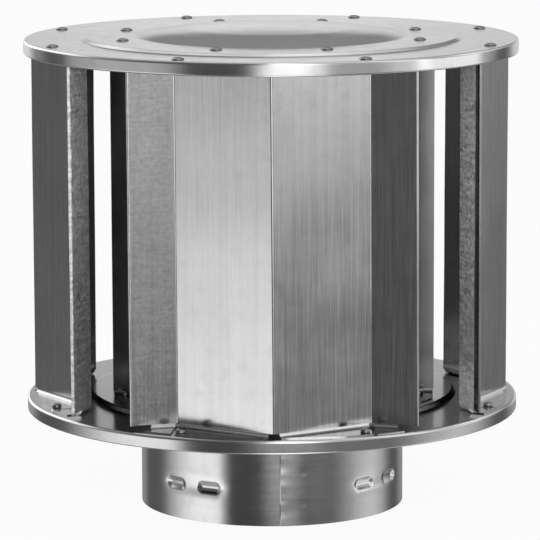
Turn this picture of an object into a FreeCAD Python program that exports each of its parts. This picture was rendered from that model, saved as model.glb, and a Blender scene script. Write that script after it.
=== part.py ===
import FreeCAD, Part
import math
import os
from collections import namedtuple

# Gas vent cap for a double-wall flue pipe. Two pressed round plates are held apart by four
# folded wind panels. A folded baffle stands behind each outlet gap, and a round collar with
# an inner flue liner hangs below. Everything is thin sheet metal, joined by blind rivets.
# Units are millimetres. Z runs up the flue, Z = 0 is the collar's lower edge, and the front
# wind panel faces -Y.

# Sheet thicknesses
plate_sheet = 0.8
panel_sheet = 0.8
baffle_sheet = 0.8
collar_sheet = 0.8
liner_sheet = 0.4

# Overall heights, measured on the plates' flat rim lands
collar_drop = 69.8
chamber_height = 227.7

# Collar and flue liner. The collar fits the pipe, and every other radius follows from it,
# each through a clearance or an edge distance.
collar_r = 84.15
collar_flange_edge = 6.1
collar_bend_r = 1.2
seam_deg = 3.0
seam_gap = 0.4
seam_lap = 11.0
lug_pairs = 4
lug_first_deg = -37.5
lug_height = 22.3
lug_length = 16.5
lug_width = 7.5
lug_depth = 1.8
lug_space = 10.0
wall_gap = 7.55
liner_bend_r = 1.0
liner_recess = 4.0

# Blind rivets. The inner ones hold the collar and the baffles, the outer ones the wind panels.
inner_rivet_out = 14.75
inner_rivet_deg = 20.0
outer_rivet_edge = 5.8
outer_rivet_inset = 10.4
shank_r = 2.0
hole_clearance = 0.05
head_r = 3.9
head_edge = 0.35
head_height = 1.35
mandrel_r = 1.1
mandrel_depth = 0.7
bulb_r = 2.95
bulb_height = 2.4
bulb_round = 0.8

# Flue baffles, one folded sheet each
baffle_leg = 28.8
baffle_leg_turn_deg = 8.0
baffle_leg_setback = 7.9
baffle_leg_to_rivets = 9.53
baffle_bend_r = 1.6
baffle_tab_edge = 11.8
baffle_tab_depth = 31.0
baffle_tab_corner_gap = 2.5
baffle_tab_end_gap = 0.5

# Wind panels, one folded sheet each
panel_wide = 68.8
panel_wide_slope_deg = 30.6
panel_flange = 30.4
panel_flange_slope_deg = 17.6
panel_step_gap = 11.3
panel_bend_r = 1.2
panel_hem_width = 3.8
panel_hem_gap = 0.7
tab_bend_r = 2.2
tab_relief = 1.6
panel_tab_apex_gap = 3.8
panel_tab_trim_deg = 7.8
panel_tab_inset = 4.4
flange_tab_length = 16.8
flange_tab_flare = 7.5

# Pressed plates
plate_overhang = 4.8
plate_bore_clearance = 2.6
rim_corner_r = 3.0
rim_height = 8.5
rim_hem_height = 4.0
rim_hem_gap = 0.3
bottom_step_gap = 5.9
bottom_step_height = 3.4
bottom_step_run = 1.6
top_step_out = 3.4
top_step_height = 1.5
top_step_run = 3.4
step_round_r = 1.4
dome_rivet_gap = 10.9
dome_height = 6.0
dome_blend_r = 22.0

# Radii that follow, from the pipe outward
liner_r = collar_r - collar_sheet - wall_gap
inner_rivet_r = collar_r + inner_rivet_out
collar_flange_r = inner_rivet_r + collar_flange_edge
dome_r = inner_rivet_r - dome_rivet_gap
baffle_tab_reach = inner_rivet_r + baffle_tab_edge
bottom_step_r = baffle_tab_reach + bottom_step_gap
top_step_r = bottom_step_r + top_step_out

# Plan of the front right baffle, as complex numbers: its leg lies beside the inner rivets, and
# is turned a little forward about its fold
baffle_leg_out = inner_rivet_r * math.sin(math.radians(inner_rivet_deg)) - baffle_leg_to_rivets
baffle_corner = complex(baffle_tab_reach - baffle_leg_setback - baffle_leg, -baffle_leg_out)
leg_turn = math.radians(baffle_leg_turn_deg)
along_leg = complex(math.cos(leg_turn), -math.sin(leg_turn))

# Plan of the front wind panel: its shoulder clears the raised ring, and its ridge follows
wide_slope = math.radians(panel_wide_slope_deg)
flange_slope = math.radians(panel_flange_slope_deg)
along_wide = complex(math.cos(wide_slope), math.sin(wide_slope))
along_flange = complex(math.cos(flange_slope), -math.sin(flange_slope))
shoulder_x = panel_wide * along_wide.real
shoulder_out = math.sqrt((top_step_r + panel_step_gap) ** 2 - shoulder_x ** 2)
panel_shoulder = complex(shoulder_x, -shoulder_out)
panel_apex = panel_shoulder - along_wide * panel_wide
wide_tab_end = panel_wide - tab_relief
plate_r = plate_overhang - panel_apex.imag
panel_tab_reach = plate_r - panel_tab_inset

# Outer rivets: on one circle, at a set distance from the end of each wide face's tab
outer_rivet_r = panel_tab_reach - outer_rivet_edge
rivet_foot = panel_apex + along_wide * (wide_tab_end - outer_rivet_inset)
foot_out = (rivet_foot * 1j * along_wide.conjugate()).real
rivet_out = math.sqrt(outer_rivet_r ** 2 - abs(rivet_foot) ** 2 + foot_out ** 2) - foot_out
rivet_point = rivet_foot - 1j * along_wide * rivet_out
outer_rivet_deg = math.degrees(math.atan2(rivet_point.real, -rivet_point.imag))

# Levels that follow
bottom_land = collar_drop
top_under = bottom_land + chamber_height
top_land = top_under + plate_sheet
raised_floor = bottom_land + bottom_step_height
raised_floor_under = raised_floor - plate_sheet
raised_roof = top_under + top_step_height
raised_roof_top = raised_roof + plate_sheet
liner_flange_under = raised_floor_under - liner_sheet
collar_flange_under = liner_flange_under - collar_sheet
rim_hem_thick = 2 * plate_sheet + rim_hem_gap

AXIS = FreeCAD.Vector(0, 0, 1)
ORIGIN = FreeCAD.Vector(0, 0, 0)
TINY = 1e-6

# Flat outlines are drawn with complex numbers as points. A side of +1 is a left turn.
Edge = namedtuple("Edge", "start end centre side")


def direction(start, end):
    """Unit step from one flat point to another."""
    return (end - start) / abs(end - start)


def line(start, end):
    """A straight edge."""
    return Edge(start, end, None, 0)


def rounded_path(points, radii):
    """Straight runs through the points, with a tangent arc at each inner point."""
    edges = []
    here = points[0]
    for before, corner, after, radius in zip(points, points[1:], points[2:], radii):
        into = direction(before, corner)
        out_of = direction(corner, after)
        turn = math.atan2((out_of / into).imag, (out_of / into).real)
        side = math.copysign(1, turn)
        cut_back = radius * math.tan(abs(turn) / 2)
        start = corner - into * cut_back
        end = corner + out_of * cut_back
        edges.append(line(here, start))
        edges.append(Edge(start, end, start + 1j * into * radius * side, side))
        here = end
    edges.append(line(here, points[-1]))
    return [edge for edge in edges if abs(edge.end - edge.start) > TINY]


def shifted(edge, distance):
    """The edge moved to its left by a distance, with arcs kept concentric."""
    if edge.centre is None:
        move = 1j * direction(edge.start, edge.end) * distance
        return line(edge.start + move, edge.end + move)
    ends = []
    for point in (edge.start, edge.end):
        spoke = point - edge.centre
        ends.append(edge.centre + spoke * (1 - edge.side * distance / abs(spoke)))
    return Edge(ends[0], ends[1], edge.centre, edge.side)


def sheet_outline(path, thickness):
    """Closed outline of a bent sheet, whose thickness lies to the left of the path."""
    far = [shifted(edge, thickness) for edge in path]
    back = [Edge(edge.end, edge.start, edge.centre, -edge.side) for edge in reversed(far)]
    return path + [line(path[-1].end, far[-1].end)] + back + [line(far[0].start, path[0].start)]


def flat_face(edges, place):
    """Face inside a closed outline; place turns a flat point into a point in space."""
    curves = []
    for edge in edges:
        start = place(edge.start)
        end = place(edge.end)
        if edge.centre is None:
            curves.append(Part.LineSegment(start, end).toShape())
        else:
            radius = abs(edge.start - edge.centre)
            spoke = (edge.start - edge.centre) + (edge.end - edge.centre)
            middle = edge.centre + spoke / abs(spoke) * radius
            curves.append(Part.Arc(start, place(middle), end).toShape())
    return Part.Face(Part.Wire(curves))


def polygon(points):
    """Closed outline of straight edges."""
    return [line(start, end) for start, end in zip(points, points[1:] + points[:1])]


def at_level(level):
    """Places plan points, x and y, at one height."""
    return lambda point: FreeCAD.Vector(point.real, point.imag, level)


def radius_and_height(point):
    """Places section points, whose parts are radius and height."""
    return FreeCAD.Vector(point.real, 0, point.imag)


def turned(outline):
    """Solid of revolution about the flue's axis."""
    return flat_face(outline, radius_and_height).revolve(ORIGIN, AXIS, 360)


def around(shape, degrees):
    """Copy of a shape, turned about the flue's axis."""
    copy = shape.copy()
    copy.rotate(ORIGIN, AXIS, degrees)
    return copy


def joined(shapes):
    """One clean solid from shapes that share faces."""
    whole = shapes[0].multiFuse(shapes[1:])
    return whole.removeSplitter()


def bearing(radius, degrees, level=0.0):
    """Point at a radius and an angle from the front, counted towards +X."""
    angle = math.radians(degrees)
    return FreeCAD.Vector(radius * math.sin(angle), -radius * math.cos(angle), level)


def rivet_places(radius, half_angle):
    """Two places on each side of every quarter turn."""
    return [bearing(radius, 90 * quarter + side * half_angle) for quarter in range(4) for side in (-1, 1)]


outer_rivets = rivet_places(outer_rivet_r, outer_rivet_deg)
inner_rivets = rivet_places(inner_rivet_r, inner_rivet_deg)


def drilled(shape, places, low, high):
    """Cuts the rivet holes between two levels."""
    radius = shank_r + hole_clearance
    drills = [Part.makeCylinder(radius, high - low, place + AXIS * low, AXIS) for place in places]
    return shape.cut(Part.makeCompound(drills))


def rim_points(land):
    """Outer rim of a plate: over the edge, down, and hemmed back up inside."""
    low = land - rim_height
    inside = plate_r - rim_hem_thick
    skirt = [complex(plate_r, land), complex(plate_r, low)]
    return skirt + [complex(inside, low), complex(inside, low + rim_hem_height)]


rim_radii = [rim_corner_r, rim_hem_thick / 2, rim_hem_thick / 2]


def top_plate():
    """Round lid, pressed up into a raised ring and a shallow dome."""
    ring = top_land + top_step_height
    crown_r = (dome_r ** 2 + dome_height ** 2 - 2 * dome_blend_r * dome_height) / (2 * dome_height)
    apex = complex(0, ring + dome_height)
    crown_centre = apex - 1j * crown_r
    blend_centre = complex(dome_r, ring + dome_blend_r)
    touch = crown_centre + direction(crown_centre, blend_centre) * crown_r
    foot = complex(dome_r, ring)
    dome = [Edge(apex, touch, crown_centre, -1), Edge(touch, foot, blend_centre, 1)]
    half_run = top_step_run / 2
    step = [complex(top_step_r - half_run, ring), complex(top_step_r + half_run, top_land)]
    skirt = rounded_path([foot] + step + rim_points(top_land), [step_round_r] * 2 + rim_radii)
    plate = turned(sheet_outline(dome + skirt, -plate_sheet))
    return drilled(plate, outer_rivets + inner_rivets, top_under - 1, ring + 1)


def bottom_plate():
    """Round floor with a raised ring around the flue opening."""
    half_run = bottom_step_run / 2
    bore = complex(liner_r + plate_bore_clearance, raised_floor)
    step = [complex(bottom_step_r - half_run, raised_floor), complex(bottom_step_r + half_run, bottom_land)]
    path = rounded_path([bore] + step + rim_points(bottom_land), [step_round_r] * 2 + rim_radii)
    plate = turned(sheet_outline(path, -plate_sheet))
    return drilled(plate, outer_rivets + inner_rivets, bottom_land - plate_sheet - 1, raised_floor + 1)


def folded_tab(fold_start, along, outward, outline, level, sheet, reach):
    """Foot tab, bent outward from an upright sheet and resting on a level.

    The fold runs from fold_start along one direction. The outline gives the tab's cut
    shape as complex numbers: distance along the fold, and distance outward from it.
    """
    body_edge = level + sheet + tab_bend_r
    longest = max(point.imag for point in outline)
    first = min(point.real for point in outline)
    last = max(point.real for point in outline)
    bend = [complex(0, body_edge), complex(0, level + sheet), complex(longest, level + sheet)]
    section = sheet_outline(rounded_path(bend, [tab_bend_r]), -sheet)

    def in_fold(point):
        plan = fold_start + along * first + outward * point.real
        return FreeCAD.Vector(plan.real, plan.imag, point.imag)

    def in_plan(point):
        plan = fold_start + along * point.real + outward * point.imag
        return FreeCAD.Vector(plan.real, plan.imag, level - 1)

    length = FreeCAD.Vector(along.real, along.imag, 0) * (last - first)
    strip = flat_face(section, in_fold).extrude(length)
    cut_shape = flat_face(polygon(outline), in_plan).extrude(AXIS * (body_edge - level + 2))
    within = Part.makeCylinder(reach, body_edge - level + 2, AXIS * (level - 1), AXIS)
    return strip.common(cut_shape).common(within)


def four_ways(tab, middle_level, mirror_normal):
    """A tab and its mirror images: left and right, bottom and top."""
    both = [tab, tab.mirror(ORIGIN, mirror_normal)]
    return both + [side.mirror(AXIS * middle_level, AXIS) for side in both]


def wind_panel():
    """Front wind panel: two wide faces to an upright ridge, and a hemmed flange on each side."""
    flange_end = panel_shoulder + along_flange * (panel_flange - panel_sheet)
    hem_turn = flange_end - 1j * along_flange * panel_hem_gap
    hem_lip = hem_turn - along_flange * (panel_hem_width - panel_sheet)
    right = [panel_shoulder, flange_end, hem_turn, hem_lip]
    left = [-point.conjugate() for point in reversed(right)]
    hem_r = panel_hem_gap / 2
    side_radii = [panel_bend_r, hem_r, hem_r]
    radii = side_radii[::-1] + [panel_bend_r + panel_sheet] + side_radii
    path = rounded_path(left + [panel_apex] + right, radii)
    low = bottom_land + panel_sheet + tab_bend_r
    high = top_under - panel_sheet - tab_bend_r
    body = flat_face(sheet_outline(path, panel_sheet), at_level(low)).extrude(AXIS * (high - low))

    # The tabs of a wide face and its flange meet along the line that halves their angle.
    half_corner = (math.pi - wide_slope - flange_slope) / 2
    mitre = complex(-math.cos(half_corner), math.sin(half_corner))
    trim = math.tan(wide_slope - math.radians(panel_tab_trim_deg))
    meet = wide_tab_end * trim / (mitre.imag - mitre.real * trim)
    wide_outline = [
        complex(panel_tab_apex_gap, -2 * panel_sheet),
        complex(wide_tab_end, -2 * panel_sheet),
        complex(wide_tab_end, 0),
        wide_tab_end + mitre * meet,
        complex(panel_tab_apex_gap, panel_tab_apex_gap * trim),
    ]
    wide_out = -1j * along_wide
    wide_tab = folded_tab(
        panel_apex, along_wide, wide_out, wide_outline, bottom_land, panel_sheet, panel_tab_reach
    )

    flange_outline = [
        complex(tab_relief, -2 * panel_sheet),
        complex(flange_tab_length, -2 * panel_sheet),
        complex(flange_tab_length, 0),
        complex(flange_tab_length + flange_tab_flare, flange_tab_flare),
        complex(flange_tab_length + flange_tab_flare, panel_flange),
        complex(tab_relief + panel_flange * -mitre.real / mitre.imag, panel_flange),
        complex(tab_relief, 0),
    ]
    flange_out = -1j * along_flange
    flange_tab = folded_tab(
        panel_shoulder, along_flange, flange_out, flange_outline, bottom_land, panel_sheet, panel_tab_reach
    )
    middle = (bottom_land + top_under) / 2
    sideways = FreeCAD.Vector(1, 0, 0)
    tabs = four_ways(wide_tab, middle, sideways) + four_ways(flange_tab, middle, sideways)
    panel = joined([body] + tabs)
    return drilled(panel, outer_rivets, bottom_land - 1, top_under + 1)


def baffle():
    """Baffle of the front right gap: a web across the gap, with a leg on each side."""
    leg = [baffle_corner + along_leg * baffle_leg, baffle_corner]
    other_leg = [complex(-point.imag, -point.real) for point in reversed(leg)]
    path = rounded_path(leg + other_leg, [baffle_bend_r] * 2)
    low = raised_floor + baffle_sheet + tab_bend_r
    high = raised_roof - baffle_sheet - tab_bend_r
    body = flat_face(sheet_outline(path, -baffle_sheet), at_level(low)).extrude(AXIS * (high - low))
    first = baffle_tab_corner_gap
    last = baffle_leg - baffle_tab_end_gap
    outline = [
        complex(first, -2 * baffle_sheet),
        complex(last, -2 * baffle_sheet),
        complex(last, baffle_tab_depth),
        complex(first, baffle_tab_depth),
    ]
    leg_out = -1j * along_leg
    tab = folded_tab(
        baffle_corner, along_leg, leg_out, outline, raised_floor, baffle_sheet, baffle_tab_reach
    )
    middle = (raised_floor + raised_roof) / 2
    across_diagonal = FreeCAD.Vector(1, 1, 0)
    folded = joined([body] + four_ways(tab, middle, across_diagonal))
    return drilled(folded, inner_rivets, raised_floor - 1, raised_roof + 1)


def capsule(radius, degrees, axis_r, half_length):
    """Round-ended bar that lies across the collar at one bearing."""
    centre = bearing(axis_r, degrees, lug_height)
    across = bearing(1, degrees + 90)
    start = centre - across * half_length
    bar = Part.makeCylinder(radius, 2 * half_length, start, across)
    ends = [Part.makeSphere(radius, start), Part.makeSphere(radius, centre + across * half_length)]
    return bar.multiFuse(ends)


def collar():
    """Outer pipe collar: a rolled, lap-seamed tube with pressed lugs and a flange on top."""
    path = [complex(collar_r, 0), complex(collar_r, collar_flange_under)]
    path.append(complex(collar_flange_r, collar_flange_under))
    tube = turned(sheet_outline(rounded_path(path, [collar_bend_r]), collar_sheet))

    # The sheet's inner end is set in by one thickness, so the seam is flush outside.
    inner_wall = collar_r - collar_sheet
    lap_height = collar_flange_under - collar_bend_r - collar_sheet
    ring = Part.makeCylinder(inner_wall, lap_height)
    ring = ring.cut(Part.makeCylinder(inner_wall - collar_sheet, lap_height))
    block = Part.makeBox(seam_lap, collar_r, lap_height, FreeCAD.Vector(-seam_lap / 2, -collar_r, 0))
    lap = ring.common(around(block, seam_deg))
    gap_depth = 1.5 * collar_sheet
    gap_corner = FreeCAD.Vector(-seam_gap / 2, -inner_wall - gap_depth, 0)
    gap = Part.makeBox(seam_gap, gap_depth, lap_height, gap_corner)
    tube = joined([tube.cut(around(gap, seam_deg)), lap])

    dent_r = ((lug_width / 2) ** 2 + lug_depth ** 2) / (2 * lug_depth)
    dent_axis = collar_r + dent_r - lug_depth
    half_length = (lug_length - lug_width) / 2
    apart_deg = math.degrees((lug_length + lug_space) / 2 / collar_r)
    within = Part.makeCylinder(collar_r - collar_sheet / 2, collar_flange_under)
    for pair in range(lug_pairs):
        for side in (-1, 1):
            place = lug_first_deg + 360 / lug_pairs * pair + side * apart_deg
            swelling = capsule(dent_r + collar_sheet, place, dent_axis, half_length).common(within)
            tube = tube.fuse(swelling).cut(capsule(dent_r, place, dent_axis, half_length))
    return drilled(tube.removeSplitter(), inner_rivets, collar_flange_under - 1, liner_flange_under + 1)


def flue_liner():
    """Inner flue wall, flanged out between the bottom plate and the collar's flange."""
    path = [complex(liner_r, liner_recess), complex(liner_r, liner_flange_under)]
    path.append(complex(collar_flange_r, liner_flange_under))
    liner = turned(sheet_outline(rounded_path(path, [liner_bend_r]), liner_sheet))
    return drilled(liner, inner_rivets, liner_flange_under - 1, raised_floor_under + 1)


def blind_rivet(grip):
    """Blind rivet with its head below Z = 0 and its set end above the grip."""
    slope_start = complex(head_r, -head_edge)
    crown = complex(mandrel_r, -head_height)
    chord = direction(slope_start, crown)
    middle = (slope_start + crown) / 2 + 1j * chord * -head_edge
    bulb_top = grip + bulb_height
    points = [
        complex(0, mandrel_depth - head_height),
        complex(mandrel_r, mandrel_depth - head_height),
        crown,
        middle,
        slope_start,
        complex(head_r, 0),
        complex(shank_r, 0),
        complex(shank_r, grip),
        complex(bulb_r, grip),
        complex(bulb_r, bulb_top - bulb_round),
        complex(bulb_r - bulb_round, bulb_top),
        complex(0, bulb_top),
    ]
    return turned(polygon(points))


def rivet_set(places, grip, head_level, head_up):
    """Group of separate rivets whose heads sit on one level."""
    rivets = []
    for place in places:
        rivet = blind_rivet(grip)
        if head_up:
            rivet = rivet.mirror(ORIGIN, AXIS)
        rivet.translate(place + AXIS * head_level)
        rivets.append(rivet)
    return Part.makeCompound(rivets)


panel_grip = plate_sheet + panel_sheet
baffle_grip = plate_sheet + baffle_sheet
floor_grip = baffle_grip + liner_sheet + collar_sheet

pieces = {
    "top_plate": top_plate(),
    "bottom_plate": bottom_plate(),
    "collar": collar(),
    "flue_liner": flue_liner(),
    "rivets_top_outer": rivet_set(outer_rivets, panel_grip, top_land, True),
    "rivets_top_inner": rivet_set(inner_rivets, baffle_grip, raised_roof_top, True),
    "rivets_bottom_outer": rivet_set(outer_rivets, panel_grip, bottom_land - plate_sheet, False),
    "rivets_bottom_inner": rivet_set(inner_rivets, floor_grip, collar_flange_under, False),
}

front_panel = wind_panel()
for quarter, side_name in enumerate(["front", "right", "back", "left"]):
    pieces["wind_panel_" + side_name] = around(front_panel, 90 * quarter)

first_baffle = baffle()
for quarter, corner_name in enumerate(["front_right", "back_right", "back_left", "front_left"]):
    pieces["baffle_" + corner_name] = around(first_baffle, 90 * quarter)

os.makedirs("parts", exist_ok=True)
for node, shape in pieces.items():
    shape.exportStep(os.path.join("parts", node + ".step"))
    print(node, "solids", len(shape.Solids), "volume", round(shape.Volume, 1), "valid", shape.isValid())
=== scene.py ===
import bmesh
import bpy
import cmath
import math
from mathutils import Matrix, Vector, noise


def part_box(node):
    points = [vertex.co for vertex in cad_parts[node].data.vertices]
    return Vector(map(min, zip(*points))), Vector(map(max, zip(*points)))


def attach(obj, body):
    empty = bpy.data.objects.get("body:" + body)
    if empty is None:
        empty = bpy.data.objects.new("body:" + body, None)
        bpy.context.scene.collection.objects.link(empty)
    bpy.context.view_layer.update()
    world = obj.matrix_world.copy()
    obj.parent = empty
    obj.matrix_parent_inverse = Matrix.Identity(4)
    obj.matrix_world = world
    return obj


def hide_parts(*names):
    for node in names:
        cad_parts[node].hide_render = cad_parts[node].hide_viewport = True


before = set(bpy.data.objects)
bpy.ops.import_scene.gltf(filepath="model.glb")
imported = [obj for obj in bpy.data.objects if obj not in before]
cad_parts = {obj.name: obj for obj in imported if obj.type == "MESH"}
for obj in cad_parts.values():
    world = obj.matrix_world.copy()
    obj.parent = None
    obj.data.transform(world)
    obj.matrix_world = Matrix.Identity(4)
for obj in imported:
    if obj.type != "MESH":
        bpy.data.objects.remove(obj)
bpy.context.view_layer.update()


# Bottom plate: a round sheet of bright zinc-aluminium coated steel, pressed up into a raised ring
# round the flue opening, with its rim rolled down and hemmed. The sheet's bends and its finish
# are set out here, because the other pieces share them.
mm = 0.001
micron = 0.001 * mm
sheet = 0.8 * mm
rim_height = 8.5 * mm
rim_corner_r = 1.6 * mm
hem_thick = 1.9 * mm
hem_height = 4.0 * mm
step_round_r = 1.4 * mm
floor_step_r = 116.6 * mm
floor_step_run = 1.6 * mm
floor_step_height = 3.4 * mm
floor_bore_r = 78.4 * mm
plate_run = 6 * mm

# A bend is a turn of more than bend_from, in radians. Less than a hair or the slack is nothing.
bend_hold = 0.2 * mm
bend_from = 0.03
hair = 0.1 * micron
slack = 0.000001


def rounded(points, radii, steps=6):
    """Points along straight runs, with an arc at each inner corner that has a radius."""
    path = [points[0]]
    for before, corner, after, radius in zip(points, points[1:], points[2:], radii):
        into = (corner - before) / abs(corner - before)
        turn = cmath.phase((after - corner) / into)
        if radius == 0 or abs(turn) < slack:
            path.append(corner)
            continue
        side = math.copysign(1, turn)
        start = corner - into * radius * math.tan(abs(turn) / 2)
        centre = start + 1j * into * radius * side
        for step in range(steps + 1):
            path.append(centre + (start - centre) * cmath.exp(1j * turn * step / steps))
    path.append(points[-1])
    return path[:1] + [here for here, last in zip(path[1:], path) if abs(here - last) > hair]


def beside(path, distance):
    """The path moved to its left by a distance."""
    runs = [(end - start) / abs(end - start) for start, end in zip(path, path[1:])]
    moved = []
    for here, into, out_of in zip(path, [runs[0]] + runs, runs + [runs[-1]]):
        middle = (into + out_of) / abs(into + out_of)
        moved.append(here + 1j * middle * distance / (middle * into.conjugate()).real)
    return moved


def divided(path, longest):
    """The path with its long runs cut into equal shorter ones."""
    fine = [path[0]]
    for start, end in zip(path, path[1:]):
        cuts = max(1, math.ceil(abs(end - start) / longest - slack))
        fine += [start + (end - start) * cut / cuts for cut in range(1, cuts + 1)]
    return fine


def held(path):
    """The path with a point beside each bend, so that shading stays flat between bends."""
    fine = path[:1]
    for before, start, end, after in zip(path[:1] + path, path, path[1:], path[2:] + path[-1:]):
        run = (end - start) / abs(end - start)
        if abs(end - start) > 3 * bend_hold:
            if start != before and abs(cmath.phase((start - before) / run)) > bend_from:
                fine.append(start + run * bend_hold)
            if after != end and abs(cmath.phase((after - end) / run)) > bend_from:
                fine.append(end - run * bend_hold)
        fine.append(end)
    return fine


def both_faces(path, thickness):
    """Closed section of a bent sheet, whose thickness lies to the right of the path."""
    under = beside(path, -thickness)[::-1]
    if path[0].real == 0:
        under[-1] = complex(0, under[-1].imag)
    return path + under


def made(name, mesh, material, sharp_deg=38):
    """Object from a mesh, smooth but for its sharp folds."""
    mesh.polygons.foreach_set("use_smooth", [True] * len(mesh.polygons))
    mesh.set_sharp_from_angle(angle=math.radians(sharp_deg))
    mesh.materials.clear()
    mesh.materials.append(material)
    piece = bpy.data.objects.new(name, mesh)
    bpy.context.scene.collection.objects.link(piece)
    return piece


def spun(name, loop, material, sectors=240):
    """Closed section spun round the flue's axis."""
    bm = bmesh.new()
    rings = []
    for sector in range(sectors):
        spoke = cmath.rect(1, math.tau * sector / sectors)
        places = [(p.real * spoke.real, p.real * spoke.imag, p.imag) for p in loop]
        rings.append([bm.verts.new(place) for place in places])
    for ring, after in zip(rings, rings[1:] + rings[:1]):
        for i, point in enumerate(loop):
            j = (i + 1) % len(loop)
            if point.real > hair or loop[j].real > hair:
                bm.faces.new((ring[i], after[i], after[j], ring[j]))
    bmesh.ops.remove_doubles(bm, verts=bm.verts, dist=hair)
    bmesh.ops.dissolve_degenerate(bm, edges=bm.edges, dist=hair)
    bmesh.ops.recalc_face_normals(bm, faces=bm.faces)
    mesh = bpy.data.meshes.new(name)
    bm.to_mesh(mesh)
    bm.free()
    return made(name, mesh, material)


class Socket:
    """A shader value that sums can be written with."""

    def __init__(self, shader, socket):
        self.shader = shader
        self.socket = socket

    def sum(self, operation, *values):
        """Result of a Math node."""
        return self.shader.add("ShaderNodeMath", {"operation": operation}, dict(enumerate(values)))

    def output(self, name):
        """Another output of the same node."""
        return Socket(self.shader, self.socket.node.outputs[name])

    def __add__(self, other):
        return self.sum("ADD", self, other)

    def __sub__(self, other):
        return self.sum("SUBTRACT", self, other)

    def __rsub__(self, other):
        return self.sum("SUBTRACT", other, self)

    def __mul__(self, other):
        return self.sum("MULTIPLY", self, other)

    def __abs__(self):
        return self.sum("ABSOLUTE", self)

    __radd__ = __add__
    __rmul__ = __mul__

    def rise(self, low, high, start=0.0, end=1.0):
        """Smooth change from start to end, while this value goes from low to high."""
        ends = {"Value": self, "From Min": low, "From Max": high, "To Min": start, "To Max": end}
        return self.shader.add("ShaderNodeMapRange", {"interpolation_type": "SMOOTHSTEP"}, ends)


class Shader:
    """The nodes of a material or of the world, added one at a time."""

    def __init__(self, owner):
        owner.use_nodes = True
        self.tree = owner.node_tree
        self.tree.nodes.clear()

    def add(self, kind, settings=None, sockets=None, out=0):
        """Adds a node: first its settings, then the values or links of its sockets."""
        node = self.tree.nodes.new(kind)
        for name, value in (settings or {}).items():
            setattr(node, name, value)
        for name, value in (sockets or {}).items():
            if isinstance(value, Socket):
                self.tree.links.new(value.socket, node.inputs[name])
            else:
                node.inputs[name].default_value = value
        return Socket(self, node.outputs[out]) if node.outputs else None

    def noise(self, place, scale, detail=2.0):
        """Cloudy noise from 0 to 1. A scale for each axis draws it out into streaks."""
        if isinstance(scale, tuple):
            place = self.add("ShaderNodeMapping", {}, {"Vector": place, "Scale": scale})
            scale = 1.0
        sockets = {"Vector": place, "Scale": scale, "Detail": detail}
        return self.add("ShaderNodeTexNoise", {}, sockets)

    def parts(self, vector):
        """The three numbers of a vector."""
        x = self.add("ShaderNodeSeparateXYZ", {}, {"Vector": vector})
        return x, x.output("Y"), x.output("Z")


# The finish's patterns: each one's scale, and how much it shows in tone, gloss and height.
streak_tone, streak_gloss, streak_height = 0.14, 0.10, 2.2 * micron
broad_scale, broad_tone, broad_height = 0.2, 0.14, 8 * micron
spangle_scale, spangle_tone, spangle_height = 240.0, 0.03, 0.4 * micron
cloud_scale, cloud_tone, cloud_gloss = 28.0, 0.08, 0.06
smear_scale, smear_tone, smear_gloss, smear_height = 90.0, 0.05, 0.08, 3 * micron
wave_scale = 13.0
fine_detail = 4.0
rubbed = (0.06, 0.2)

# Where the coating has gone dull: how far it has lost its metal look, and how blotched it is.
mottle_scale, mottle_edges, mottle_dulling, mottle_tone = 420.0, (-0.14, 0.14), 0.30, 0.9
band_scale, band_edges, band_dulling, band_tone = (60, 60, 700), (-0.16, 0.16), 0.22, 0.5
even_dulling = 0.28
dull_roughness = 0.25
# How much the hems are darkened: painted shade at their folds.
hem_shade = 0.4


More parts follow.
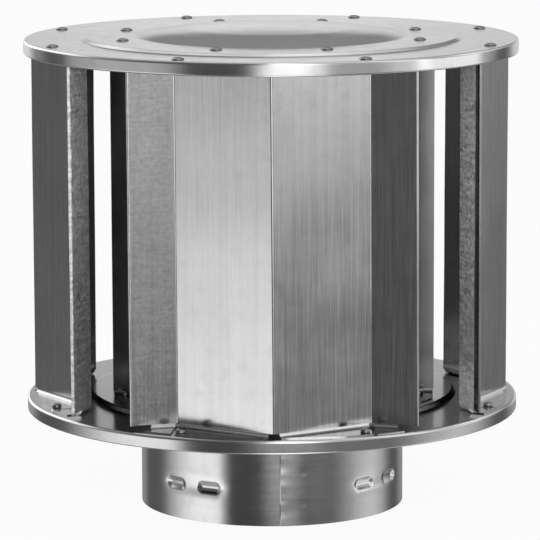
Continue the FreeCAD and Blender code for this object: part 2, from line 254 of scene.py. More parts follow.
def coated_sheet(name, tone, gloss, grain, streaks, waviness, dull_zone=None):
    """Bright coated sheet: streaks along the grain, spangle, rubbed patches and soft waves.

    The grain gives the streaks' noise scale on each axis. A dull zone, if given, is where the
    coating has gone matt and mottled. Its dulling also carries painted light, and it darkens the
    hems with painted shade.
    """
    material = bpy.data.materials.new(name)
    shader = Shader(material)
    place = shader.add("ShaderNodeTexCoord", out="Object")
    fine = shader.noise(place, grain) - 0.5
    broad = shader.noise(place, tuple(scale * broad_scale for scale in grain)) - 0.5
    cells = {"Vector": place, "Scale": spangle_scale}
    cells = shader.add("ShaderNodeTexVoronoi", {}, cells, out="Color")
    spangle = shader.add("ShaderNodeSeparateColor", {}, {"Color": cells}) - 0.5
    clouds = shader.noise(place, cloud_scale) - 0.5
    smears = shader.noise(place, smear_scale, fine_detail) - 0.5
    lightness = 1.0 + fine * streak_tone * streaks + broad * broad_tone * streaks
    lightness = lightness + spangle * spangle_tone
    lightness = lightness + clouds * cloud_tone - smears.rise(*rubbed) * smear_tone
    roughness = gloss + fine * streak_gloss * streaks + smears * smear_gloss
    roughness = roughness + clouds * cloud_gloss
    metallic = 1.0
    if dull_zone:
        # The dull share carries painted light by height, and the hems' mask carries painted shade.
        dull, blotched, hems = dull_zone(place)
        mottle = shader.noise(place, mottle_scale, fine_detail) - 0.5
        bands = shader.noise(place, band_scale) - 0.5
        patches = mottle.rise(*mottle_edges) * mottle_dulling
        patches = patches + bands.rise(*band_edges) * band_dulling
        metallic = 1.0 - dull * (even_dulling + patches)
        roughness = roughness + dull * dull_roughness
        blotches = mottle * mottle_tone + bands * band_tone
        # Painted shade darkens the hems.
        lightness = lightness + blotched * blotches - hems * hem_shade
    grey = {"Red": lightness, "Green": lightness, "Blue": lightness}
    shade = shader.add("ShaderNodeCombineColor", {}, grey)
    blend = {"data_type": "RGBA", "blend_type": "MULTIPLY"}
    colour = shader.add("ShaderNodeMix", blend, {0: 1.0, 6: tone, 7: shade}, out=2)
    waves = shader.noise(place, wave_scale)
    height = waves * waviness + fine * (streak_height * streaks)
    height = height + broad * (broad_height * streaks)
    height = height + smears * smear_height + spangle * spangle_height
    bump = shader.add("ShaderNodeBump", {}, {"Strength": 1.0, "Distance": 1.0, "Height": height})
    surface = {"Base Color": colour, "Metallic": metallic, "Roughness": roughness, "Normal": bump}
    metal = shader.add("ShaderNodeBsdfPrincipled", {}, surface)
    shader.add("ShaderNodeOutputMaterial", {}, {"Surface": metal})
    return material


pressed_sheet = coated_sheet(
    "pressed_sheet", tone=(0.77, 0.77, 0.775, 1), gloss=0.17, grain=(25, 1400, 1400),
    streaks=0.3, waviness=40 * micron
)

plate_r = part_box("bottom_plate")[1].x
floor_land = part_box("bottom_plate")[0].z + rim_height


def rim(land):
    """A plate's edge, from its flat land over the corner and down, then hemmed back up inside."""
    base = land - rim_height
    inside = plate_r - hem_thick
    edge = [complex(plate_r, land), complex(plate_r, base)]
    return edge + [complex(inside, base), complex(inside, base + hem_height)]


edge_radii = [step_round_r, step_round_r, rim_corner_r, hem_thick / 2, hem_thick / 2]
floor_top = floor_land + floor_step_height
step_head = complex(floor_step_r - floor_step_run / 2, floor_top)
step_foot = complex(floor_step_r + floor_step_run / 2, floor_land)
floor_path = [complex(floor_bore_r, floor_top), step_head, step_foot] + rim(floor_land)
floor_path = divided(held(rounded(floor_path, edge_radii)), plate_run)
bottom_plate = spun("bottom_plate_sheet", both_faces(floor_path, sheet), pressed_sheet)
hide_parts("bottom_plate")
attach(bottom_plate, "root")


# Flue liner: the thin inner wall of mill-finish aluminium. Its top is turned out into a flange,
# which the rivets of the baffles' feet hold between the bottom plate and the collar.
liner_sheet = 0.4 * mm
liner_bend_r = 1.0 * mm
liner_r = 75.8 * mm
flange_run = 5 * mm
mill_aluminium = coated_sheet(
    "mill_aluminium", tone=(0.78, 0.78, 0.80, 1), gloss=0.28, grain=(30, 30, 1400),
    streaks=0.8, waviness=30 * micron
)

low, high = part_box("flue_liner")
liner_top = high.z - liner_sheet
liner_path = [complex(liner_r, low.z), complex(liner_r, liner_top), complex(high.x, liner_top)]
liner_path = divided(held(rounded(liner_path, [liner_bend_r])), flange_run)
liner = spun("flue_liner_sheet", both_faces(liner_path, -liner_sheet), mill_aluminium, sectors=180)
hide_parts("flue_liner")
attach(liner, "root")


# Collar: one coated sheet rolled into a tube and spot-welded at its lap, with a flange on top.
# Four pairs of pressed lugs lock the pipe, and draw the wall in a little around them.
collar_r = 84.15 * mm
collar_bend_r = 1.2 * mm
seam_deg = 3.0
lap_step = 0.34 * mm
lap_run = 0.53 * mm
lap_fade = 5.0 * mm
lap_evenness = 0.75
lap_ripple = 0.9
lap_ripple_scale = 160
weld_heights = [14.0 * mm, 33.7 * mm, 54.0 * mm]
weld_r = 2.4 * mm
weld_inset = 15.0 * mm
weld_depth = 0.05 * mm
lug_first_deg = -37.5
lug_height = 22.3 * mm
lug_half_run = 4.5 * mm
lug_half_width = 4.1 * mm
lug_depth = 1.25 * mm
lug_fullness = 1.3
lug_spread = 13.25 * mm
draw_in = 0.35 * mm
draw_reach = 8.0 * mm
round_near_flange = 3 * mm
rolled_sheet = coated_sheet(
    "rolled_sheet", tone=(0.78, 0.78, 0.785, 1), gloss=0.17, grain=(28, 28, 1400),
    streaks=0.5, waviness=40 * micron
)

flange_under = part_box("collar")[1].z - sheet

# Heights of the wall's points in millimetres, closer together across the lugs and the welds.
rows = [3, 6, 9, 11, 12, 13, 14, 15, 16, 17] + [17.6 + 0.45 * step for step in range(22)]
rows += [28, 29.5, 31, 32, 33, 34, 35, 36, 38, 41, 44, 47, 50, 52, 53, 54, 55, 56, 58, 61, 64]
collar_path = [complex(collar_r, row * mm) for row in [0] + rows]
collar_path.append(complex(collar_r, flange_under))
collar_path.append(complex(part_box("collar")[1].x, flange_under))
collar_path = held(rounded(collar_path, [0] * len(rows) + [collar_bend_r]))
collar_path = collar_path[:-1] + divided(collar_path[-2:], flange_run)[1:]


def apart(bearing, other):
    """Turn from one bearing to another, in degrees."""
    return (bearing - other + 180) % 360 - 180


# Bearings of the wall's points, in degrees from the front: every third one, closer together
# across the lugs, and closest across the lap and its welds.
lug_pairs = [lug_first_deg + 90 * pair for pair in range(4)]
lug_zone = 15
lug_step = 0.36
lap_zone = (-3, 15)
lap_turns = [-1.5, -0.2, 0, 0.09, 0.18, 0.27, 0.36, 0.8, 1.6, 2.6, 3.8, 5.2, 7]
weld_turns = [8.4, 9.1, 9.7, 10.3, 10.9, 11.5, 12.2, 13.4]
bearings = [turn * 3 for turn in range(-60, 60)]
bearings = [b for b in bearings if all(abs(apart(b, pair)) > lug_zone for pair in lug_pairs)]
bearings += [pair + lug_step * turn for pair in lug_pairs for turn in range(-41, 42)]
bearings = [b for b in bearings if not lap_zone[0] < apart(b, seam_deg) < lap_zone[1]]
bearings += [seam_deg + turn for turn in lap_turns + weld_turns]
bearings = sorted(set(apart(b, 0) for b in bearings))


def pressed(bearing, height):
    """How far the collar's wall stands out from a true round at one place."""
    out = 0.0
    degree = math.radians(1) * collar_r
    for pair in lug_pairs:
        run = apart(bearing, pair) * degree
        drop = height - lug_height
        nearness = math.hypot(max(0.0, abs(run) - lug_spread - lug_half_run), drop) / draw_reach
        if nearness < 1:
            out -= draw_in * (0.5 + 0.5 * math.cos(math.pi * nearness))
        for side in (-1, 1):
            past = max(0.0, abs(run - side * lug_spread) - lug_half_run)
            core = math.hypot(past, drop) / lug_half_width
            if core < 1:
                out -= lug_depth * (1 - core ** 2) ** lug_fullness
    run = apart(bearing, seam_deg) * degree
    if run > 0:
        ripple = lap_evenness + lap_ripple * noise.noise((0.3, 0.7, height * lap_ripple_scale))
        rise = 0.5 - 0.5 * math.cos(math.pi * min(1.0, run / lap_run))
        out += lap_step * ripple * rise * math.exp(-run / lap_fade)
    for weld in weld_heights:
        reach = math.hypot(run - weld_inset, height - weld) / weld_r
        if reach < 1:
            out -= weld_depth * (1 - reach ** 2)
    return out


def evaluated(piece):
    """Plain mesh of a piece with its modifiers applied. The piece itself is removed."""
    result = piece.evaluated_get(bpy.context.evaluated_depsgraph_get())
    mesh = bpy.data.meshes.new_from_object(result)
    bpy.data.objects.remove(piece)
    return mesh


def thickened(name, bm, thickness, material):
    """Bent sheet from its outer surface, with its thickness behind that."""
    mesh = bpy.data.meshes.new(name)
    bm.to_mesh(mesh)
    bm.free()
    skin = bpy.data.objects.new(name + "_skin", mesh)
    bpy.context.scene.collection.objects.link(skin)
    wall = skin.modifiers.new("wall", "SOLIDIFY")
    wall.thickness = thickness
    wall.offset = -1
    wall.use_even_offset = True
    whole = evaluated(skin)
    whole.name = name
    return made(name, whole, material)


bm = bmesh.new()
columns = []
for bearing in bearings:
    spoke = cmath.rect(1, math.radians(bearing - 90))
    column = []
    for point in collar_path:
        radius = point.real
        if point.imag < flange_under - round_near_flange:
            radius += pressed(bearing, point.imag)
        column.append(bm.verts.new((radius * spoke.real, radius * spoke.imag, point.imag)))
    columns.append(column)
for column, after in zip(columns, columns[1:] + columns[:1]):
    for i in range(len(collar_path) - 1):
        bm.faces.new((column[i], after[i], after[i + 1], column[i + 1]))
collar = thickened("collar_sheet", bm, sheet, rolled_sheet)
for vert in collar.data.vertices:
    vert.co.z = max(vert.co.z, 0.0)
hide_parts("collar")
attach(collar, "root")


# Baffles: four folded sheets of mill-finish steel behind the outlet gaps. Each has a web across
# its gap, a leg on each side, and foot tabs bent out and riveted to both plates' raised rings.
tab_bend_r = 2.2 * mm
baffle_bend_r = 1.6 * mm
baffle_leg = 28.8 * mm
baffle_corner = (74.0 - 24.3j) * mm
leg_turns = [math.radians(-5), math.radians(-12)]
rack = 0.008
rack_pivot = 0.6
sheet_levels = 26
sway_most = 0.22 * mm
sway_fullness = 1.3
sway_scale_across = 22
sway_scale_up = 17
tab_most = 40 * mm
tab_least = 1.05 * tab_bend_r
tab_hold = 0.04
tab_cuts = 5
bend_steps = 6
baffle_tab_first = 2.5 * mm
baffle_tab_last = 28.3 * mm
baffle_tab_depth = 31.0 * mm
baffle_tab_reach = 110.7 * mm
baffle_seed = 5.0
front_left_shift = 1.2 * mm
mill_sheet = coated_sheet(
    "mill_sheet", tone=(0.66, 0.66, 0.665, 1), gloss=0.19, grain=(1300, 1300, 25),
    streaks=0.5, waviness=60 * micron
)


class Tab:
    """Foot tab of an upright sheet, bent out along a fold between two of its plan's points.

    Its left and right edges are given by the distance out, and its depth by the place along it.
    """

    def __init__(self, fold, along, left, right, depth, reach):
        self.fold = fold
        self.along = along
        self.left = left
        self.right = right
        self.depth = depth
        self.reach = reach
        self.flip = None

    def mirrored(self, flip):
        """The same tab on the sheet's other side."""
        other = Tab(self.fold, self.along, self.left, self.right, self.depth, self.reach)
        other.flip = flip
        return other

    def place(self, share, out):
        """Plan point at a share of the tab's width and a distance out from the fold."""
        if self.flip is not None:
            share = 1 - share
        run = self.left(out) + (self.right(out) - self.left(out)) * share
        point = self.fold + self.along * (run - 1j * out)
        return point if self.flip is None else self.flip * point.conjugate()

    def length(self, share):
        """How far out the tab goes at a share of its width."""
        shortest = 0.0
        longest = tab_most
        while longest - shortest > micron:
            out = (shortest + longest) / 2
            spot = 1 - share if self.flip is not None else share
            run = self.left(out) + (self.right(out) - self.left(out)) * spot
            if abs(self.place(share, out)) < self.reach and out < self.depth(run):
                shortest = out
            else:
                longest = out
        return max(shortest, tab_least)


def folded_sheet(name, plan, tabs, base, top, turn, seed, material):
    """Upright folded sheet on its plan's points, with foot tabs at its base and top."""
    bm = bmesh.new()

    def vertex(point, z):
        """A point of the sheet, turned to its place and racked with the whole cap."""
        point *= turn * cmath.rect(1, rack * (rack_pivot - (z - base) / (top - base)))
        return bm.verts.new((point.real, point.imag, z))

    low = base + sheet + tab_bend_r
    high = top - sheet - tab_bend_r
    spread = [low + (high - low) * level / sheet_levels for level in range(sheet_levels + 1)]
    spread = spread[:1] + [low + bend_hold] + spread[1:-1] + [high - bend_hold] + spread[-1:]
    grid = []
    for before, here, after in zip(plan[:1] + plan, plan, plan[1:] + plan[-1:]):
        facing = -1j * (after - before) / abs(after - before)
        column = []
        for z in spread:
            hold = math.sin(math.pi * (z - low) / (high - low)) ** sway_fullness
            across = here * sway_scale_across
            ripple = noise.noise((across.real + seed, across.imag, z * sway_scale_up))
            sway = sway_most * hold * ripple
            column.append(vertex(here + facing * sway, z))
        grid.append(column)
    for column, after in zip(grid, grid[1:]):
        for i in range(len(spread) - 1):
            bm.faces.new((column[i], after[i], after[i + 1], column[i + 1]))
    bend = [math.pi / 2 * step / bend_steps for step in range(1, bend_steps + 1)]
    bend = [(tab_bend_r * (1 - math.cos(t)), tab_bend_r * (1 - math.sin(t))) for t in bend]
    for tab in tabs:
        ends = []
        for share in (0, 1):
            corner = tab.place(share, 0)
            ends.append(min(range(len(plan)), key=lambda i: abs(plan[i] - corner)))
        for lowest in (True, False):
            rows = []
            for i in range(ends[0], ends[1] + 1):
                share = abs(plan[i] - plan[ends[0]]) / abs(plan[ends[1]] - plan[ends[0]])
                flat = tab.length(share) - tab_bend_r
                cuts = [tab_bend_r + flat * tab_hold]
                cuts += [tab_bend_r + flat * cut / tab_cuts for cut in range(1, tab_cuts + 1)]
                row = [grid[i][0 if lowest else -1]]
                for out, rise in bend + [(out, 0) for out in cuts]:
                    z = base + sheet + rise if lowest else top - sheet - rise
                    row.append(vertex(tab.place(share, out), z))
                rows.append(row)
            for row, after in zip(rows, rows[1:]):
                for k in range(len(row) - 1):
                    corners = [row[k], after[k], after[k + 1], row[k + 1]]
                    bm.faces.new(corners[::-1] if lowest else corners)
    return thickened(name, bm, sheet, material)


# The plan is that of the front right baffle: its front leg from the end, its web, its right leg.
quarter_turns = [1, 1j, -1, -1j]
baffle_corners = ["front_right", "back_right", "back_left", "front_left"]
leg_cuts = 8
web_cuts = 12
tab_width = baffle_tab_last - baffle_tab_first
leg_columns = [baffle_tab_first + tab_width * cut / leg_cuts for cut in range(leg_cuts + 1)]
leg_columns = [0] + leg_columns + [baffle_leg]
legs = [[baffle_corner + cmath.rect(column, turn) for column in leg_columns] for turn in leg_turns]
leg = legs[0]
across = -1j * baffle_corner.conjugate() - baffle_corner
web = [baffle_corner + across * cut / web_cuts for cut in range(web_cuts, -1, -1)]
other_leg = [-1j * point.conjugate() for point in legs[1][:0:-1]]
leg_radii = [0] * (len(leg) - 2)
web_radii = [baffle_bend_r] + [0] * (web_cuts - 1) + [baffle_bend_r]
baffle_plan = held(rounded(other_leg + web + leg[1:], leg_radii + web_radii + leg_radii))
leg_tabs = [
    Tab(
        baffle_corner, cmath.rect(1, turn), lambda out: baffle_tab_first,
        lambda out: baffle_tab_last, lambda run: baffle_tab_depth, baffle_tab_reach
    ) for turn in leg_turns
]
baffle_tabs = [leg_tabs[0], leg_tabs[1].mirrored(-1j)]
baffle_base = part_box("baffle_front_right")[0].z
baffle_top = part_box("baffle_front_right")[1].z
for seed, (corner, turn) in enumerate(zip(baffle_corners, quarter_turns)):
    piece = folded_sheet(
        "baffle_sheet_" + corner, baffle_plan, baffle_tabs, baffle_base, baffle_top, turn,
        baffle_seed + seed, mill_sheet
    )
    if corner == "front_left":
        piece.data.transform(Matrix.Translation((front_left_shift, 0, 0)))
    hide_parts("baffle_" + corner)
    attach(piece, "root")


# Wind panels: four folded sheets of vertically brushed coated steel between the plates. Two wide
# faces meet at an upright ridge, each has a flange with a hemmed edge, and foot tabs are bent out
# and riveted to both plates' lands.
panel_wide = 68.8 * mm
panel_flange = 30.4 * mm
panel_bend_r = 1.2 * mm
panel_shoulder = (59.219 - 117.187j) * mm
along_wide = cmath.rect(1, math.radians(30.6))
along_flange = cmath.rect(1, math.radians(-17.6))
panel_hem_width = 2.8 * mm
panel_hem_gap = 0.7 * mm
tab_relief = 1.6 * mm
tab_apex_gap = 3.8 * mm
tab_mitre = 0.4473
tab_trim = math.tan(math.radians(22.8))
flange_tab_length = 16.8 * mm
flange_tab_flare = 7.5 * mm
flange_bare = 5 * mm
panel_tab_reach = 152.609 * mm
panel_seed = 20.0

# Where the finish changes: each zone's edges on x, y or z, over which it fades in or out.
flange_x = (112.5 * mm, 113.5 * mm)
flange_y = (59 * mm, 60 * mm)
hem_x = (124.6 * mm, 125.6 * mm)
hem_y = (83 * mm, 84 * mm)
front_left_x = (-61 * mm, -59 * mm)
front_left_y = (-117 * mm, -116 * mm)
# Heights over which the flanges' dulling changes, as painted light: more towards the top, and on
# the right side towards the foot.
painted_light_heights = (90 * mm, 290 * mm)
painted_light_foot_heights = (80 * mm, 112 * mm)
front_left_blotched = 0.6


def side_flanges(place):
    """How dull the sheet is in the side panels' flanges, where it is blotched, and their hems.
    The dulling changes up the flanges as painted light, and the hems get painted shade.
    """
    x, y, z = place.shader.parts(place)
    flanges = abs(x).rise(*flange_x) * abs(y).rise(*flange_y) * abs(x).rise(*hem_x, 1.0, 0.0)
    # Painted light: the flanges grow duller towards the top, and on the right side towards the
    # foot.
    painted_light_by_height = z.rise(*painted_light_heights, 0.7, 1.4) + x.rise(0, mm) * z.rise(*painted_light_foot_heights, 1.1, 0.2)
    front_left = x.rise(*front_left_x, 1.0, 0.0) * y.rise(*front_left_y, 1.0, 0.0)
    hems = abs(x).rise(*hem_x) * abs(y).rise(*hem_y)
    return flanges * painted_light_by_height, flanges + front_left * front_left_blotched, hems


brushed_sheet = coated_sheet(
    "brushed_sheet", tone=(0.79, 0.79, 0.795, 1), gloss=0.17, grain=(1300, 1300, 22),
    streaks=1.5, waviness=50 * micron, dull_zone=side_flanges
)

# The plan is that of the front panel, from its left hem, over the ridge, to its right hem.
wide_cuts = 24
flange_cuts = 7
apex = panel_shoulder - along_wide * panel_wide
wide_end = panel_wide - tab_relief
wide_run = wide_end - tab_apex_gap
wide_steps = [tab_apex_gap + wide_run * cut / wide_cuts for cut in range(wide_cuts + 1)]
wide_points = [apex + along_wide * step for step in wide_steps]
flange_width = flange_tab_length - tab_relief
flange_steps = [tab_relief + flange_width * cut / flange_cuts for cut in range(flange_cuts + 1)]
flange_steps.append(flange_tab_length + flange_bare)
flange_points = [panel_shoulder + along_flange * step for step in flange_steps]
flange_end = panel_shoulder + along_flange * (panel_flange - sheet)
hem_turn = flange_end - 1j * along_flange * panel_hem_gap
hem_lip = hem_turn - along_flange * (panel_hem_width - sheet)
right_side = wide_points + [panel_shoulder] + flange_points + [flange_end, hem_turn, hem_lip]
side_radii = [0] * len(wide_points) + [panel_bend_r] + [0] * len(flange_points)
side_radii += [panel_hem_gap / 2] * 2
left_side = [-point.conjugate() for point in right_side[::-1]]
panel_radii = side_radii[::-1] + [panel_bend_r + sheet] + side_radii
panel_plan = held(rounded(left_side + [apex] + right_side, panel_radii))
wide_tab = Tab(
    apex, along_wide, lambda out: tab_apex_gap, lambda out: wide_end - tab_mitre * out,
    lambda run: run * tab_trim, panel_tab_reach
)
flange_tab = Tab(
    panel_shoulder, along_flange, lambda out: tab_relief + tab_mitre * out,
    lambda out: flange_tab_length + min(out, flange_tab_flare), lambda run: panel_flange,
    panel_tab_reach
)
panel_tabs = [wide_tab, flange_tab, wide_tab.mirrored(-1), flange_tab.mirrored(-1)]

# How each panel sits askew: the degrees that it is swung, and the place that it swings about in
# millimetres. The left one is also folded deeper, with its ridge further out.
swings = {"front": (-1.0, 0, -152), "right": (1.6, 135, -40), "left": (0.8, -152.75, 0)}
left_fold = 1.064
left_ridge = 0.55 * mm
panel_sides = ["front", "right", "back", "left"]
panel_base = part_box("wind_panel_front")[0].z
panel_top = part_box("wind_panel_front")[1].z
for seed, (side, turn) in enumerate(zip(panel_sides, quarter_turns)):
    piece = folded_sheet(
        "wind_panel_sheet_" + side, panel_plan, panel_tabs, panel_base, panel_top, turn,
        panel_seed + seed * 3, brushed_sheet
    )
    swing, x, y = swings.get(side, (0, 0, 0))
    hinge = Matrix.Translation((x * mm, y * mm, 0))
    piece.data.transform(hinge @ Matrix.Rotation(math.radians(swing), 4, "Z") @ hinge.inverted())
    if side == "left":
        further_out = Matrix.Translation((-left_ridge, 0, 0))
        ridge = Matrix.Translation((apex.imag, 0, 0))
        deeper = Matrix.Diagonal((left_fold, 1, 1, 1))
        piece.data.transform(further_out @ ridge @ deeper @ ridge.inverted())
    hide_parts("wind_panel_" + side)
    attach(piece, "root")


# Top plate: the round lid, of the same bright sheet as the bottom plate. It is pressed up into
# a raised ring and a shallow dome that sheds rain, and its rim is rolled down and hemmed.
roof_step_r = 120.0 * mm
roof_step_run = 3.4 * mm
roof_step_height = 1.5 * mm
dome_height = 6.0 * mm
dome_run = 1.5

# The dome's slope at some radii in millimetres, as shares of its steepest. Between them the slope
# changes smoothly, and the fall that they add up to is then scaled to the dome's height.
dome_slopes = [(0, 0.0), (45, 0.26), (60, 0.55), (78, 1.0), (84, 1.0), (88, 0.0)]
roof_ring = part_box("top_plate")[1].z - dome_height
roof_land = roof_ring - roof_step_height
roof_path = [0j]
for (start, slope), (end, next_slope) in zip(dome_slopes, dome_slopes[1:]):
    cuts = round((end - start) / dome_run)
    for cut in range(cuts):
        share = (cut + 0.5) / cuts
        here = slope + (next_slope - slope) * (0.5 - 0.5 * math.cos(math.pi * share))
        roof_path.append(roof_path[-1] + (1 - 1j * here) * (end - start) / cuts)
fall = -roof_path[-1].imag
roof_path = [(p.real * mm, dome_height * (1 + p.imag / fall)) for p in roof_path]
roof_path = [complex(radius, roof_ring + height) for radius, height in roof_path]
step_head = complex(roof_step_r - roof_step_run / 2, roof_ring)
step_foot = complex(roof_step_r + roof_step_run / 2, roof_land)
roof_edge = [roof_path[-1], step_head, step_foot] + rim(roof_land)
roof_path += divided(held(rounded(roof_edge, edge_radii)), plate_run)[1:]
top_plate = spun("top_plate_sheet", both_faces(roof_path, sheet), pressed_sheet)
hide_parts("top_plate")
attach(top_plate, "root")


# Blind rivets: plain grey ones with a low dome head and the hollow of their broken mandrel, and a
# bulb set on the far side. Two on each side of every quarter fix the panels to the lands, and
# the same again fix the baffles to the raised rings.
head_r = 3.9 * mm
head_edge = 0.35 * mm
head_height = 1.35 * mm
head_fullness = 2.2
head_steps = 6
mandrel_r = 1.1 * mm
mandrel_floor = 0.8
mandrel_depth = 0.7 * mm
shank_r = 2.0 * mm
bulb_r = 2.95 * mm
bulb_height = 2.4 * mm
bulb_foot = 0.3 * mm
bulb_round = 0.8 * mm
plate_grip = 1.6 * mm
liner_grip = 2.8 * mm
outer_ring_r = 146.81 * mm
outer_half_deg = 22.5
inner_ring_r = 98.9 * mm
inner_half_deg = 20.0
spin_most = 6.28
spin_seed = 7
rivet_grey = coated_sheet(
    "rivet_grey", tone=(0.32, 0.32, 0.325, 1), gloss=0.30, grain=(500, 500, 500),
    streaks=0.6, waviness=20 * micron
)


def rivet_section(grip):
    """Half section of a rivet, with its head below zero and its bulb above the grip."""
    hollow = mandrel_depth - head_height
    head = [complex(0, hollow), complex(mandrel_r * mandrel_floor, hollow)]
    head.append(complex(mandrel_r, -head_height))
    for step in range(1, head_steps + 1):
        share = step / head_steps
        radius = mandrel_r + (head_r - mandrel_r) * share
        rise = (head_height - head_edge) * (1 - share ** head_fullness)
        head.append(complex(radius, -head_edge - rise))
    head.append(complex(head_r, 0))
    bulb_top = grip + bulb_height
    bulb = [complex(shank_r, 0), complex(shank_r, grip), complex(bulb_r, grip + bulb_foot)]
    bulb += [complex(bulb_r, bulb_top - bulb_round), complex(bulb_r - bulb_round, bulb_top)]
    return head + bulb + [complex(0, bulb_top)]


rivet_ring = bpy.data.node_groups.new("rivet_ring", "GeometryNodeTree")
sockets = rivet_ring.interface
sockets.new_socket("Rivet", in_out="INPUT", socket_type="NodeSocketGeometry")
for label in ("Ring radius", "Half angle", "Level"):
    sockets.new_socket(label, in_out="INPUT", socket_type="NodeSocketFloat")
sockets.new_socket("Finish", in_out="INPUT", socket_type="NodeSocketMaterial")
sockets.new_socket("Rivets", in_out="OUTPUT", socket_type="NodeSocketGeometry")


class RingNodes(Shader):
    """The same way of adding nodes, for the tree that sets the rivets."""

    def __init__(self, tree):
        self.tree = tree


ring = RingNodes(rivet_ring)
given = ring.add("NodeGroupInput")
number = ring.add("GeometryNodeInputIndex")
quarter = (number * 0.5).sum("FLOOR", number * 0.5)
side = (number - quarter * 2) * 2 - 1
angle = quarter * (math.pi / 2) + side * given.output("Half angle")
ring_radius = given.output("Ring radius")
spot = ring.add("ShaderNodeCombineXYZ", {}, {
    "X": ring_radius * angle.sum("SINE", angle),
    "Y": ring_radius * angle.sum("COSINE", angle) * -1,
    "Z": given.output("Level"),
})
spins = {"Min": 0.0, "Max": spin_most, "Seed": spin_seed}
spin = ring.add("FunctionNodeRandomValue", {"data_type": "FLOAT"}, spins, out=1)
spin = ring.add("ShaderNodeCombineXYZ", {}, {"Z": spin})
points = ring.add("GeometryNodePoints", {}, {"Count": 8, "Position": spot})
instances = {"Points": points, "Instance": given, "Rotation": spin}
rivets = ring.add("GeometryNodeInstanceOnPoints", {}, instances)
rivets = ring.add("GeometryNodeRealizeInstances", {}, {"Geometry": rivets})
finished = {"Geometry": rivets, "Material": given.output("Finish")}
rivets = ring.add("GeometryNodeSetMaterial", {}, finished)
ring.add("NodeGroupOutput", {}, {0: rivets})


def rivet_set(node, grip, head_up, ring_r, half_deg):
    """Eight like rivets, in pairs about the four quarters."""
    low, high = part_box(node)
    section = rivet_section(grip)
    level = low.z + head_height
    if head_up:
        section = [point.conjugate() for point in section]
        level = high.z - head_height
    one = spun(node + "_one", section, rivet_grey, sectors=32)
    setter = one.modifiers.new("ring", "NODES")
    setter.node_group = rivet_ring
    values = {"Ring radius": ring_r, "Half angle": math.radians(half_deg), "Level": level}
    values["Finish"] = rivet_grey
    for item in rivet_ring.interface.items_tree:
        if item.name in values:
            setter[item.identifier] = values[item.name]
    mesh = evaluated(one)
    mesh.name = node
    piece = made(node.replace("rivets", "blind_rivets"), mesh, rivet_grey, sharp_deg=50)
    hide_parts(node)
    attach(piece, "root")


rivet_set("rivets_top_outer", plate_grip, True, outer_ring_r, outer_half_deg)
rivet_set("rivets_top_inner", plate_grip, True, inner_ring_r, inner_half_deg)
rivet_set("rivets_bottom_outer", plate_grip, False, outer_ring_r, outer_half_deg)
rivet_set("rivets_bottom_inner", liner_grip, False, inner_ring_r, inner_half_deg)


# Floor: plain white, and not part of the cap. It keeps a faint soft shadow under it.
reach = 9.0
floor_drop = 0.2 * mm
paper_white = 0.95
glow_share = 0.95

floor_mesh = bpy.data.meshes.new("floor")
floor_corners = [(-reach, -reach, 0), (reach, -reach, 0), (reach, reach, 0), (-reach, reach, 0)]
floor_mesh.from_pydata(floor_corners, [], [(0, 1, 2, 3)])
floor = bpy.data.objects.new("floor", floor_mesh)
bpy.context.scene.collection.objects.link(floor)
floor.location.z = -floor_drop
floor.visible_glossy = False
floor.visible_diffuse = False
floor_white = bpy.data.materials.new("floor_white")
shader = Shader(floor_white)
paper_colour = (paper_white, paper_white, paper_white, 1)
paper = shader.add("ShaderNodeBsdfDiffuse", {}, {"Color": paper_colour})
glow = shader.add("ShaderNodeEmission", {}, {"Color": (1, 1, 1, 1), "Strength": 1.0})
mixed = shader.add("ShaderNodeMixShader", {}, {0: glow_share, 1: paper, 2: glow})
shader.add("ShaderNodeOutputMaterial", {}, {"Surface": mixed})
floor_mesh.materials.append(floor_white)


# Studio: soft light from all round, which bright metal mirrors as a few broad soft boxes and the
# dark room between them. Azimuths count from the camera's side, towards the right, and heights
# from level upwards, both in degrees.
world = bpy.data.worlds.new("studio")
bpy.context.scene.world = world
shader = Shader(world)
degrees = 180 / math.pi
x, y, z = shader.parts(shader.add("ShaderNodeTexCoord"))
azimuth = x.sum("ARCTAN2", x, y * -1) * degrees
height = z.sum("ARCSINE", z) * degrees


def soft_box(dark_left, full_left, full_right, dark_right):
    """Share of a soft box's light across its azimuths."""
    return azimuth.rise(dark_left, full_left) * azimuth.rise(full_right, dark_right, 1.0, 0.0)


room = height.rise(20, 60, 0.10, 0.2)
room = room - soft_box(-46, -36, 26, 40) * height.rise(-12, -8, 0.045, 0.02)

# On the left: a low box, the paler wall above it, and a wall and an edge of light further round.
left_low = soft_box(-120, -66, -50, -37) * height.rise(-14, -4, 1.04, 0.0)
left_low = left_low * height.rise(-34, -20, 0.2, 1.0)
left_high = height.rise(-14, -4, 0.0, 0.20) - height.rise(-1, 6, 0.0, 0.20)
left_high = soft_box(-112, -102, -60, -36) * left_high
left_high = left_high + soft_box(-112, -106, -78, -68) * height.rise(-10, -5, 0.0, 0.10)
far_left = soft_box(-172, -150, -134, -124) * height.rise(-10, -5, 0.0, 0.16)
left_edge = soft_box(-172, -160, -144, -134) * height.rise(-3, 8, 0.0, 1.2)
left_edge = left_edge * height.rise(24, 40, 1.0, 0.3)

# In front: a bright strip, and the weaker light under it.
strip_box = soft_box(-14, 2, 16, 30) * height.rise(-10, -5.5, 0.0, 1.2)
strip_box = strip_box * (1 - azimuth.rise(-6, 5, 1.0, 0.0) * height.rise(-2, 3))
strip_low = soft_box(-10, 0, 14, 26) * height.rise(-11.4, -10.0, 0.0, 0.36)
strip_low = strip_low + soft_box(-5, 2, 4, 30) * 0.03

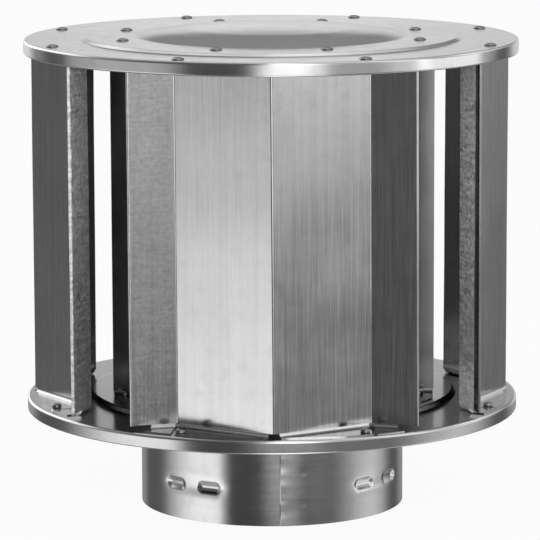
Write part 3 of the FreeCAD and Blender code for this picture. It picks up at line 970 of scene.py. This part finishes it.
# On the right: a box beside the strip, an edge of light, a low wash and a high, bright box.
right_box = soft_box(16, 26, 44, 60) * height.rise(-11.5, -7, 0.0, 0.36)
right_edge = soft_box(46, 60, 72, 80) * height.rise(-9, -5.2, 0.0, 0.80)
right_wash = soft_box(50, 98, 98, 130) * height.rise(-13, -7, 0.56, 0.04)
right_wash = right_wash * height.rise(-34, -20, 0.3, 1.0)
right_high = soft_box(66, 76, 108, 115) * height.rise(-9.5, -5.8, 0.0, 1.1)
right_high = right_high * height.rise(-1, 7, 1.0, 0.3)
far_box = soft_box(106, 113, 118, 132) * height.rise(-12, -5, 0.03, 0.30)

# Behind the cap: the backdrop that the plates' tops mirror, and light high above it.
backdrop = height.rise(-13, -6, 0.16, 0.60) - height.rise(9.5, 12, 0.0, 0.50)
backdrop = backdrop + height.rise(14, 19, 0.0, 0.06)
glint = abs(azimuth).rise(175.5, 179.5) * height.rise(4, 5, 0.0, 0.20)
glint = glint * height.rise(9, 11, 1.0, 0.0)
behind = abs(azimuth).rise(138, 156) * backdrop + glint
above = abs(azimuth).rise(155, 168) * height.rise(36, 56, 0.0, 0.42)
above_right = azimuth.rise(120, 150) * height.rise(27, 40, 0.0, 0.30)

# Under the cap: the table, brighter in front and on the right.
table = soft_box(-16, 0, 20, 36) * 1.6 + soft_box(66, 80, 100, 116) * 0.3 + 0.12
table = table * height.rise(-26, -16, 1.0, 0.0)
studio = room + left_low + left_high + strip_box + strip_low + right_box + right_edge + right_wash
studio = studio + far_box + behind + table + above + above_right

# How many faces have mirrored the light on its way. Light that comes by two faces or more is
# darker, except the light of the sides, which reaches the sheets through the outlet gaps.
path = shader.add("ShaderNodeLightPath")
mirrors = path.output("Ray Depth") - path.output("Is Glossy Ray")
sides = soft_box(-158, -140, -108, -96) * height.rise(4, 10, 0.0, 0.42)
sides = sides * height.rise(10, 24, 1.0, 2.6)
right_side = soft_box(96, 108, 140, 158) * height.rise(4, 12, 0.0, 0.24)
sides = sides + right_side * height.rise(12, 26, 1.0, 3.0)
again = mirrors.rise(1.2, 1.8)
first = right_high + far_left + left_edge
studio = studio * (1 - again * height.rise(-2, 2, 0.95, 0.2)) + first * (1 - again * 0.9)
studio = studio * mirrors.rise(2.2, 2.8, 1.0, 0.3) + sides * height.rise(32, 44, 1.0, 0.0)
mirrored = shader.add("ShaderNodeBackground", {}, {"Color": (1, 1, 1, 1), "Strength": studio})
front_light = abs(azimuth).rise(60, 120, 1.0, 0.1) * height.rise(-10, 20, 1.0, 0.5)
scattered = {"Color": (1, 1, 1, 1), "Strength": front_light}
scattered = shader.add("ShaderNodeBackground", {}, scattered)
white = shader.add("ShaderNodeBackground", {}, {"Color": (1, 1, 1, 1), "Strength": 1.0})
is_seen = path.output("Is Camera Ray")
is_scattered = path.output("Is Diffuse Ray")
lit = shader.add("ShaderNodeMixShader", {}, {0: is_scattered, 1: mirrored, 2: scattered})
seen = shader.add("ShaderNodeMixShader", {}, {0: is_seen, 1: lit, 2: white})
shader.add("ShaderNodeOutputWorld", {}, {"Surface": seen})


aim = Vector((0, 0, 0.2))


def soft_lamp(name, place, size, energy):
    """Round soft lamp aimed at the cap. Bright metal mirrors the studio instead of it."""
    light = bpy.data.lights.new(name, "AREA")
    light.shape = "DISK"
    light.size = size
    light.energy = energy
    lamp = bpy.data.objects.new(name, light)
    lamp.location = place
    lamp.rotation_euler = (aim - lamp.location).to_track_quat("-Z", "Y").to_euler()
    lamp.visible_glossy = False
    bpy.context.scene.collection.objects.link(lamp)


soft_lamp("overhead", place=(0.2, -0.4, 2.4), size=1.6, energy=6)
soft_lamp("front", place=(0.0, -2.4, 0.4), size=1.2, energy=24)


# Camera: a long lens at the photograph's angle, a little above the cap and looking down on it.
# Its turn about the cap and its roll are in radians.
lens_mm = 241.57
sideways_shift = -0.00304
stand_back = 2.2929
eye_height = 0.5220
look_down_deg = 9.25
camera_turn = -0.0034
camera_roll = -0.0028

camera_data = bpy.data.cameras.new("camera")
camera_data.sensor_width = 36
camera_data.lens = lens_mm
camera_data.shift_x = sideways_shift
camera = bpy.data.objects.new("camera", camera_data)
bpy.context.scene.collection.objects.link(camera)
stand = Matrix.Translation((0, -stand_back, eye_height))
stand = Matrix.Rotation(camera_turn, 4, "Z") @ stand
tilt = Matrix.Rotation(math.radians(90 - look_down_deg), 4, "X")
tilt = tilt @ Matrix.Rotation(camera_roll, 4, "Z")
camera.matrix_world = stand @ tilt
bpy.context.scene.camera = camera
bpy.context.scene.view_settings.view_transform = "Standard"
